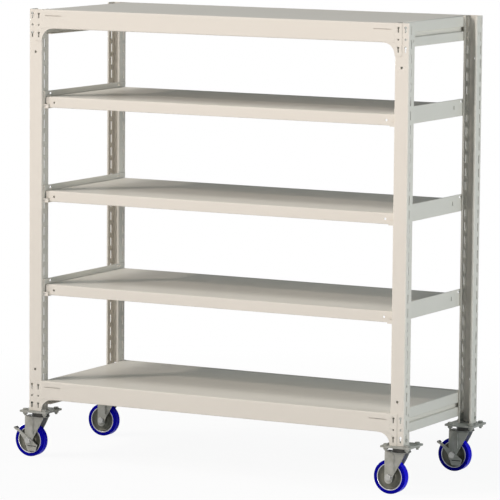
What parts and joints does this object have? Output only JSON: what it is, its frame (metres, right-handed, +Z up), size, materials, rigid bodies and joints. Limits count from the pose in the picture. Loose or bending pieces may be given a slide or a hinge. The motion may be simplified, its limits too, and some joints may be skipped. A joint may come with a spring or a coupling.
{
  "type": "mobile shelving",
  "caption": "Free-standing steel shelving unit with slotted corner posts, flat tray shelves, side rails and braked swivel casters on plates at the feet.",
  "frame": {"origin": "on the floor under the wheels, in the middle of the whole outline", "axes": "+Z up, -Y out of the front, +X to the right of someone facing the front"},
  "size_m": [1.6664, 0.652, 1.6809],
  "materials": {
    "rack_paint": "smooth ivory powder coat with a soft gloss",
    "zinc_plate": "zinc-plated pressed steel",
    "wheel_steel": "satin grey steel",
    "blue_tyre": "glossy blue polyurethane",
    "pedal_rubber": "matt black rubber"
  },
  "bodies": {
    "rack": {"post_front_left": "rack_paint", "post_front_right": "rack_paint", "post_rear_left": "rack_paint", "post_rear_right": "rack_paint", "beam_top_front": "rack_paint", "beam_top_rear": "rack_paint", "side_beam_top_left": "rack_paint", "side_beam_top_right": "rack_paint", "beam_bottom_front": "rack_paint", "beam_bottom_rear": "rack_paint", "side_beam_bottom_left": "rack_paint", "side_beam_bottom_right": "rack_paint", "shelf_top": "rack_paint", "shelf_bottom": "rack_paint", "shelf_upper": "rack_paint", "side_rail_upper_left": "rack_paint", "side_rail_upper_right": "rack_paint", "shelf_middle": "rack_paint", "side_rail_middle_left": "rack_paint", "side_rail_middle_right": "rack_paint", "shelf_lower": "rack_paint", "side_rail_lower_left": "rack_paint", "side_rail_lower_right": "rack_paint", "foot_bracket_front_left": "zinc_plate", "caster_plate_front_left": "zinc_plate", "foot_bracket_front_right": "zinc_plate", "caster_plate_front_right": "zinc_plate", "foot_bracket_rear_left": "zinc_plate", "caster_plate_rear_left": "zinc_plate", "foot_bracket_rear_right": "zinc_plate", "caster_plate_rear_right": "zinc_plate"},
    "fork_front_left": {"fork_front_left": "zinc_plate", "axle_front_left": "zinc_plate"},
    "wheel_front_left": {"hub_front_left": "wheel_steel", "tyre_front_left": "blue_tyre"},
    "brake_front_left": {"brake_lever_front_left": "zinc_plate", "brake_pedal_front_left": "pedal_rubber"},
    "fork_front_right": {"fork_front_right": "zinc_plate", "axle_front_right": "zinc_plate"},
    "wheel_front_right": {"hub_front_right": "wheel_steel", "tyre_front_right": "blue_tyre"},
    "fork_rear_left": {"fork_rear_left": "zinc_plate", "axle_rear_left": "zinc_plate"},
    "wheel_rear_left": {"hub_rear_left": "wheel_steel", "tyre_rear_left": "blue_tyre"},
    "fork_rear_right": {"fork_rear_right": "zinc_plate", "axle_rear_right": "zinc_plate"},
    "wheel_rear_right": {"hub_rear_right": "wheel_steel", "tyre_rear_right": "blue_tyre"},
    "brake_rear_right": {"brake_lever_rear_right": "zinc_plate", "brake_pedal_rear_right": "pedal_rubber"}
  },
  "joints": [
    {"name": "swivel_front_left", "type": "hinge", "parent": "rack", "child": "fork_front_left", "pos_m": [-0.7278, -0.268, 0.1609], "axis": [0, 0, 1], "continuous": true},
    {"name": "wheel_front_left", "type": "hinge", "parent": "fork_front_left", "child": "wheel_front_left", "pos_m": [-0.7678, -0.268, 0.06211], "axis": [0, 1, 0], "continuous": true},
    {"name": "brake_front_left", "type": "hinge", "parent": "fork_front_left", "child": "brake_front_left", "pos_m": [-0.7678, -0.268, 0.06211], "axis": [0, 1, 0], "range_deg": [-25, 0]},
    {"name": "swivel_front_right", "type": "hinge", "parent": "rack", "child": "fork_front_right", "pos_m": [0.7752, -0.268, 0.1609], "axis": [0, 0, 1], "continuous": true},
    {"name": "wheel_front_right", "type": "hinge", "parent": "fork_front_right", "child": "wheel_front_right", "pos_m": [0.7352, -0.268, 0.06211], "axis": [0, 1, 0], "continuous": true},
    {"name": "swivel_rear_left", "type": "hinge", "parent": "rack", "child": "fork_rear_left", "pos_m": [-0.7278, 0.268, 0.1609], "axis": [0, 0, 1], "continuous": true},
    {"name": "wheel_rear_left", "type": "hinge", "parent": "fork_rear_left", "child": "wheel_rear_left", "pos_m": [-0.7678, 0.268, 0.06211], "axis": [0, 1, 0], "continuous": true},
    {"name": "swivel_rear_right", "type": "hinge", "parent": "rack", "child": "fork_rear_right", "pos_m": [0.7752, 0.268, 0.1609], "axis": [0, 0, 1], "continuous": true},
    {"name": "wheel_rear_right", "type": "hinge", "parent": "fork_rear_right", "child": "wheel_rear_right", "pos_m": [0.7352, 0.268, 0.06211], "axis": [0, 1, 0], "continuous": true},
    {"name": "brake_rear_right", "type": "hinge", "parent": "fork_rear_right", "child": "brake_rear_right", "pos_m": [0.7352, 0.268, 0.06211], "axis": [0, 1, 0], "range_deg": [-25, 0]}
  ]
}
